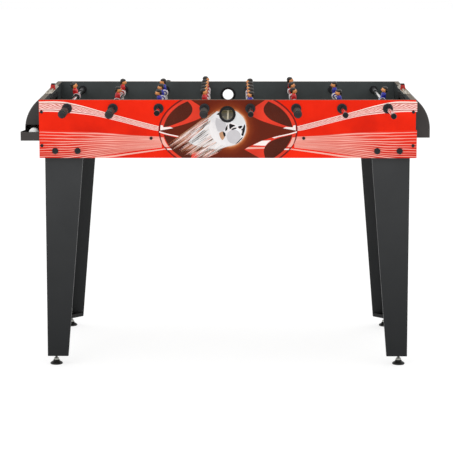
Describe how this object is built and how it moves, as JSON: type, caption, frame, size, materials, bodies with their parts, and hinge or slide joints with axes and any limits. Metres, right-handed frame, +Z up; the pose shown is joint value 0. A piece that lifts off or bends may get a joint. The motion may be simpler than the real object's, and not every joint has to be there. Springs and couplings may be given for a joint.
{
  "type": "foosball table",
  "caption": "Foosball table on four tapered L-shaped legs, with spinning and sliding rods of players, ball returns, sliding score counters and levelling feet.",
  "frame": {"origin": "on the floor, under the middle of the cabinet", "axes": "+X along the table's length to the right, -Y towards the front with the serve cup and the red team's grips, +Z up"},
  "size_m": [1.238, 1.048, 0.8349],
  "materials": {
    "printed_panel": "satin printed laminate on board",
    "end_panel": "satin charcoal laminate on board",
    "playfield": "satin printed green laminate",
    "raw_board": "raw fibreboard",
    "leg_laminate": "satin charcoal laminate on board",
    "black_steel": "black painted steel",
    "black_moulding": "moulded black plastic",
    "gloss_black_moulding": "semi-gloss moulded black plastic",
    "score_strip": "printed cream plastic with a black rail",
    "score_slider": "moulded red plastic",
    "ball_plastic": "moulded white plastic",
    "foot_moulding": "moulded black plastic on a steel stud",
    "rod_chrome": "polished chrome",
    "grip_moulding": "ribbed black plastic",
    "red_player": "moulded and painted plastic",
    "blue_player": "moulded and painted plastic",
    "bumper_rubber": "black rubber"
  },
  "bodies": {
    "cabinet": {"front_panel": "printed_panel", "rear_panel": "printed_panel", "left_end_panel": "end_panel", "right_end_panel": "end_panel", "playfield": "playfield", "field_supports": "raw_board", "front_left_leg": "leg_laminate", "front_right_leg": "leg_laminate", "rear_left_leg": "leg_laminate", "rear_right_leg": "leg_laminate", "leg_foot_plates": "leg_laminate", "leg_bolts": "black_steel", "panel_screws": "black_steel", "rod_bushings": "black_moulding", "serve_cups": "black_moulding", "left_goal_frame": "black_moulding", "right_goal_frame": "black_moulding", "left_ball_return": "gloss_black_moulding", "right_ball_return": "gloss_black_moulding", "scorer_strips": "score_strip"},
    "front_left_leveller": {"front_left_leveller": "foot_moulding"},
    "front_right_leveller": {"front_right_leveller": "foot_moulding"},
    "rear_left_leveller": {"rear_left_leveller": "foot_moulding"},
    "rear_right_leveller": {"rear_right_leveller": "foot_moulding"},
    "left_score_slider": {"left_score_slider": "score_slider"},
    "right_score_slider": {"right_score_slider": "score_slider"},
    "game_ball": {"game_ball": "ball_plastic"},
    "rod1_carriage": {"rod1_bumpers": "bumper_rubber"},
    "rod1": {"rod1_tube": "rod_chrome", "rod1_grip": "grip_moulding", "rod1_players": "red_player"},
    "rod2_carriage": {"rod2_bumpers": "bumper_rubber"},
    "rod2": {"rod2_tube": "rod_chrome", "rod2_grip": "grip_moulding", "rod2_players": "red_player"},
    "rod3_carriage": {"rod3_bumpers": "bumper_rubber"},
    "rod3": {"rod3_tube": "rod_chrome", "rod3_grip": "grip_moulding", "rod3_players": "blue_player"},
    "rod4_carriage": {"rod4_bumpers": "bumper_rubber"},
    "rod4": {"rod4_tube": "rod_chrome", "rod4_grip": "grip_moulding", "rod4_players": "red_player"},
    "rod5_carriage": {"rod5_bumpers": "bumper_rubber"},
    "rod5": {"rod5_tube": "rod_chrome", "rod5_grip": "grip_moulding", "rod5_players": "blue_player"},
    "rod6_carriage": {"rod6_bumpers": "bumper_rubber"},
    "rod6": {"rod6_tube": "rod_chrome", "rod6_grip": "grip_moulding", "rod6_players": "red_player"},
    "rod7_carriage": {"rod7_bumpers": "bumper_rubber"},
    "rod7": {"rod7_tube": "rod_chrome", "rod7_grip": "grip_moulding", "rod7_players": "blue_player"},
    "rod8_carriage": {"rod8_bumpers": "bumper_rubber"},
    "rod8": {"rod8_tube": "rod_chrome", "rod8_grip": "grip_moulding", "rod8_players": "blue_player"}
  },
  "joints": [
    {"name": "rod1_slide", "type": "slide", "parent": "cabinet", "child": "rod1_carriage", "axis": [0, 1, 0], "range_m": [-0.16, 0.061]},
    {"name": "rod1_spin", "type": "hinge", "parent": "rod1_carriage", "child": "rod1", "pos_m": [-0.4774, 0, 0.7875], "axis": [0, 1, 0], "continuous": true},
    {"name": "rod2_slide", "type": "slide", "parent": "cabinet", "child": "rod2_carriage", "axis": [0, 1, 0], "range_m": [-0.147, 0.074]},
    {"name": "rod2_spin", "type": "hinge", "parent": "rod2_carriage", "child": "rod2", "pos_m": [-0.341, 0, 0.7875], "axis": [0, 1, 0], "continuous": true},
    {"name": "rod3_slide", "type": "slide", "parent": "cabinet", "child": "rod3_carriage", "axis": [0, 1, 0], "range_m": [-0.0744, 0.0864]},
    {"name": "rod3_spin", "type": "hinge", "parent": "rod3_carriage", "child": "rod3", "pos_m": [-0.2046, 0, 0.7875], "axis": [0, 1, 0], "continuous": true},
    {"name": "rod4_slide", "type": "slide", "parent": "cabinet", "child": "rod4_carriage", "axis": [0, 1, 0], "range_m": [-0.0984, 0.0024]},
    {"name": "rod4_spin", "type": "hinge", "parent": "rod4_carriage", "child": "rod4", "pos_m": [-0.0682, 0, 0.7875], "axis": [0, 1, 0], "continuous": true},
    {"name": "rod5_slide", "type": "slide", "parent": "cabinet", "child": "rod5_carriage", "axis": [0, 1, 0], "range_m": [-0.0154, 0.0854]},
    {"name": "rod5_spin", "type": "hinge", "parent": "rod5_carriage", "child": "rod5", "pos_m": [0.0682, 0, 0.7875], "axis": [0, 1, 0], "continuous": true},
    {"name": "rod6_slide", "type": "slide", "parent": "cabinet", "child": "rod6_carriage", "axis": [0, 1, 0], "range_m": [-0.1304, 0.0304]},
    {"name": "rod6_spin", "type": "hinge", "parent": "rod6_carriage", "child": "rod6", "pos_m": [0.2046, 0, 0.7875], "axis": [0, 1, 0], "continuous": true},
    {"name": "rod7_slide", "type": "slide", "parent": "cabinet", "child": "rod7_carriage", "axis": [0, 1, 0], "range_m": [-0.053, 0.168]},
    {"name": "rod7_spin", "type": "hinge", "parent": "rod7_carriage", "child": "rod7", "pos_m": [0.341, 0, 0.7875], "axis": [0, 1, 0], "continuous": true},
    {"name": "rod8_slide", "type": "slide", "parent": "cabinet", "child": "rod8_carriage", "axis": [0, 1, 0], "range_m": [-0.024, 0.197]},
    {"name": "rod8_spin", "type": "hinge", "parent": "rod8_carriage", "child": "rod8", "pos_m": [0.4774, 0, 0.7875], "axis": [0, 1, 0], "continuous": true},
    {"name": "front_left_leveller_turn", "type": "hinge", "parent": "cabinet", "child": "front_left_leveller", "pos_m": [-0.522, -0.266, 0], "axis": [0, 0, 1], "continuous": true},
    {"name": "front_right_leveller_turn", "type": "hinge", "parent": "cabinet", "child": "front_right_leveller", "pos_m": [0.522, -0.266, 0], "axis": [0, 0, 1], "continuous": true},
    {"name": "rear_left_leveller_turn", "type": "hinge", "parent": "cabinet", "child": "rear_left_leveller", "pos_m": [-0.522, 0.266, 0], "axis": [0, 0, 1], "continuous": true},
    {"name": "rear_right_leveller_turn", "type": "hinge", "parent": "cabinet", "child": "rear_right_leveller", "pos_m": [0.522, 0.266, 0], "axis": [0, 0, 1], "continuous": true},
    {"name": "left_score_slide", "type": "slide", "parent": "cabinet", "child": "left_score_slider", "axis": [0, 1, 0], "range_m": [-0.091, 0.115]},
    {"name": "right_score_slide", "type": "slide", "parent": "cabinet", "child": "right_score_slider", "axis": [0, 1, 0], "range_m": [-0.091, 0.115]},
    {"name": "ball_roll", "type": "slide", "parent": "cabinet", "child": "game_ball", "axis": [0, 1, 0], "range_m": [0, 0.5]}
  ]
}
